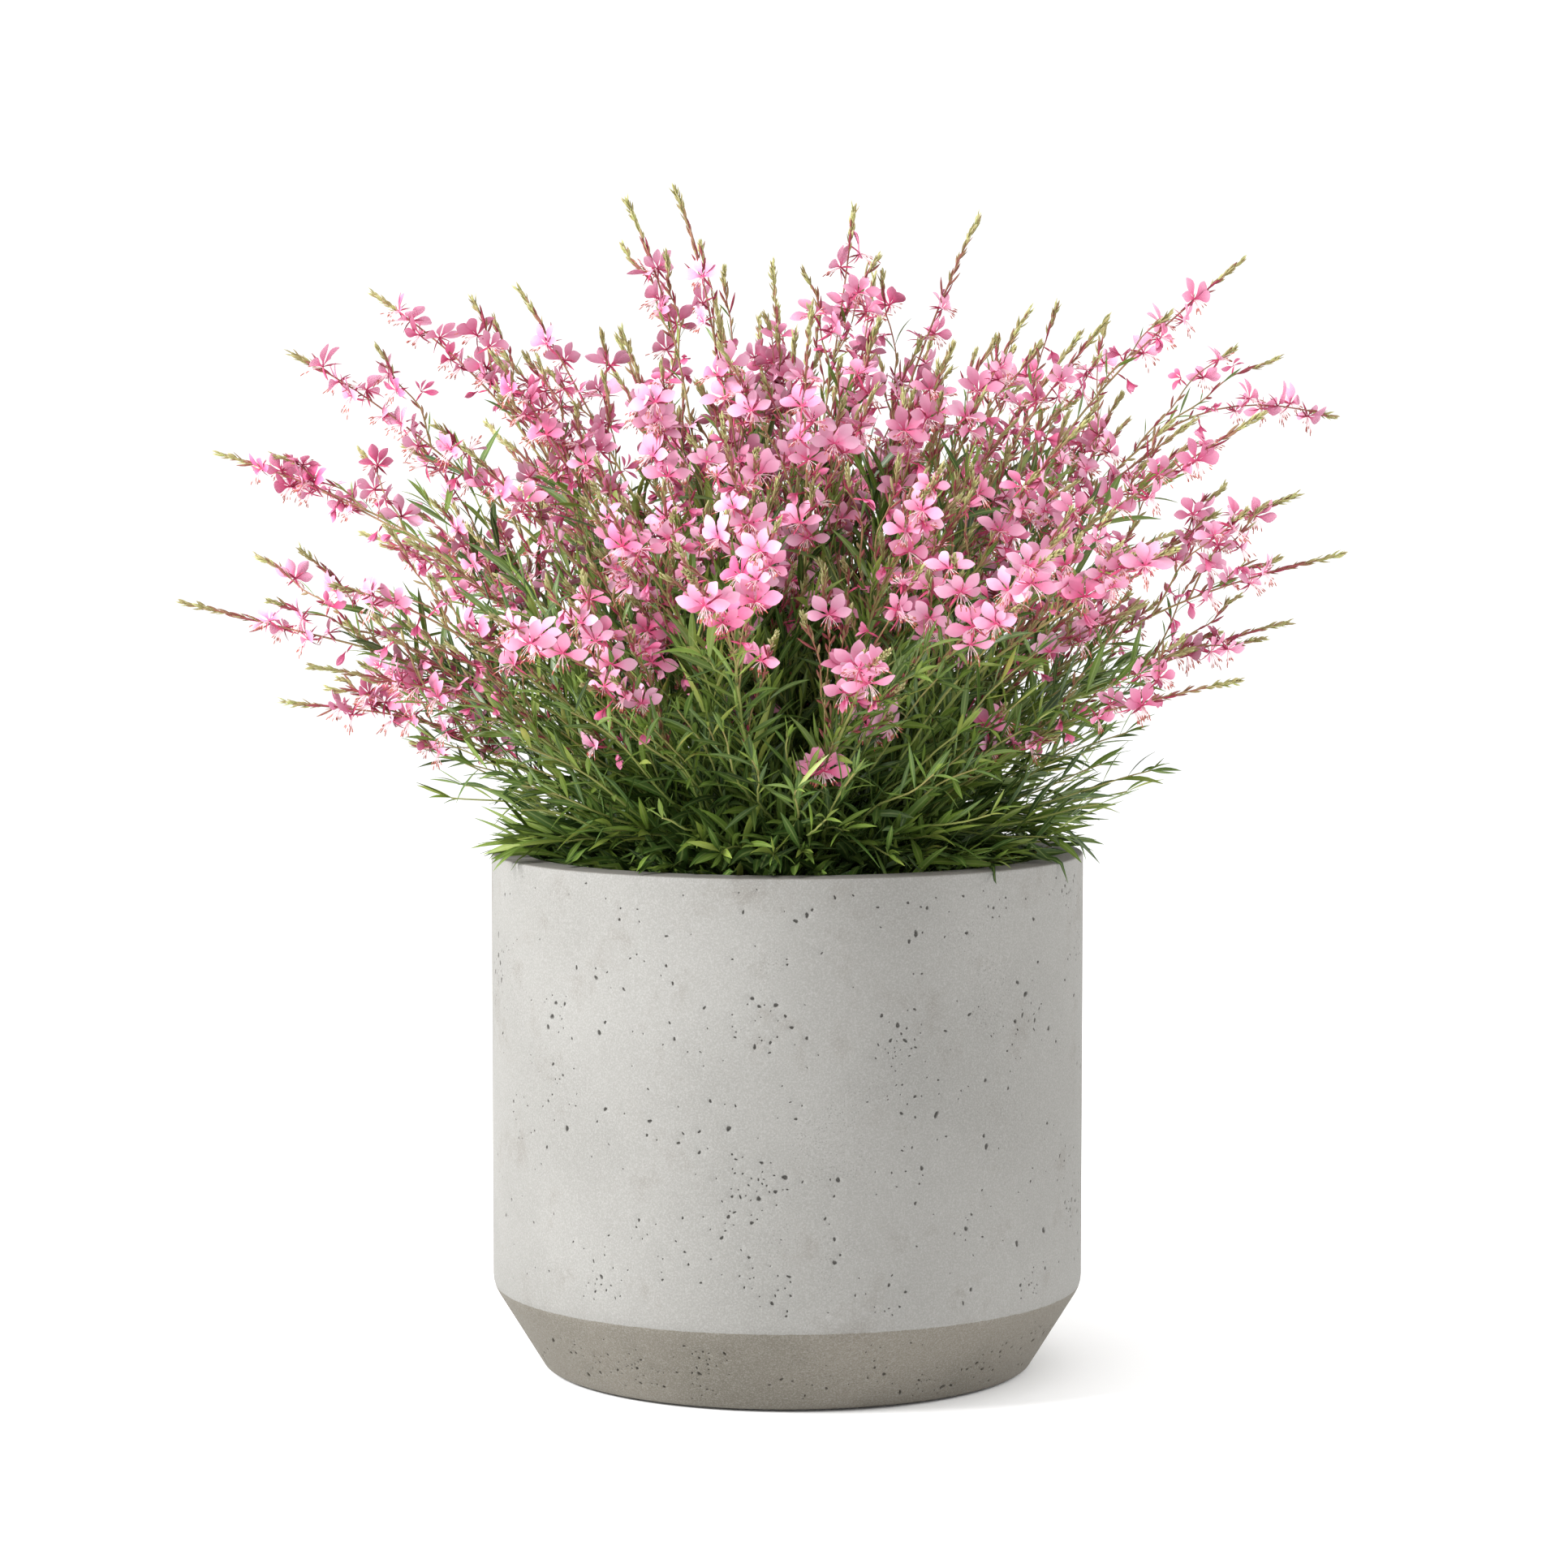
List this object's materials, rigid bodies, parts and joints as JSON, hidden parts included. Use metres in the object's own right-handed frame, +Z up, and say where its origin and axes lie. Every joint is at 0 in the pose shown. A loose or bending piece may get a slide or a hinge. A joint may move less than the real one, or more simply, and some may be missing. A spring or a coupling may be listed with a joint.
{
  "type": "planter",
  "caption": "Round concrete planter with a tapered foot, holding a lift-out grow pot of potting mix planted with a pink-flowering gaura.",
  "frame": {"origin": "on the floor under the planter's own axis, at the centre of the whole part's outline", "axes": "+Z up along the planter's axis; the plant's front faces -Y; +X is to the right seen from the front"},
  "size_m": [0.7952, 0.7701, 0.7941],
  "materials": {
    "concrete": "matte cast concrete with small open pores",
    "pad_rubber": "matte",
    "plug_rubber": "matte",
    "pot_plastic": "satin, fine moulded texture",
    "clay_pebbles": "matte fired clay",
    "fleece": "felted",
    "potting_mix": "crumbly, damp",
    "root_mass": "fibrous",
    "stem": "smooth herbaceous stem",
    "leaf": "soft satin leaf",
    "petal": "thin translucent petal",
    "bud": "matte, finely downy"
  },
  "bodies": {
    "planter": {"planter_shell": "concrete", "foot_pads": "pad_rubber"},
    "plug": {"drain_plug": "plug_rubber"},
    "insert": {"grow_pot": "pot_plastic", "drainage_layer": "clay_pebbles", "filter_fleece": "fleece", "substrate": "potting_mix", "root_ball": "root_mass", "root_crown": "stem", "arching_wands_back": "petal", "arching_wands_front": "petal", "arching_wands_left": "petal", "arching_wands_right": "petal", "leafy_shoots_back": "leaf", "leafy_shoots_front": "leaf", "leafy_shoots_left": "leaf", "leafy_shoots_right": "leaf", "spreading_wands_back": "petal", "spreading_wands_front": "petal", "spreading_wands_left": "petal", "spreading_wands_right": "petal", "tall_wands_back": "petal", "tall_wands_front": "petal", "tall_wands_left": "petal", "tall_wands_right": "petal"}
  },
  "joints": [
    {"name": "grow_pot_lift", "type": "slide", "parent": "planter", "child": "insert", "axis": [0, 0, 1], "range_m": [0, 0.36]},
    {"name": "plug_pull", "type": "slide", "parent": "planter", "child": "plug", "axis": [0, 0, -1], "range_m": [0, 0.04]}
  ]
}
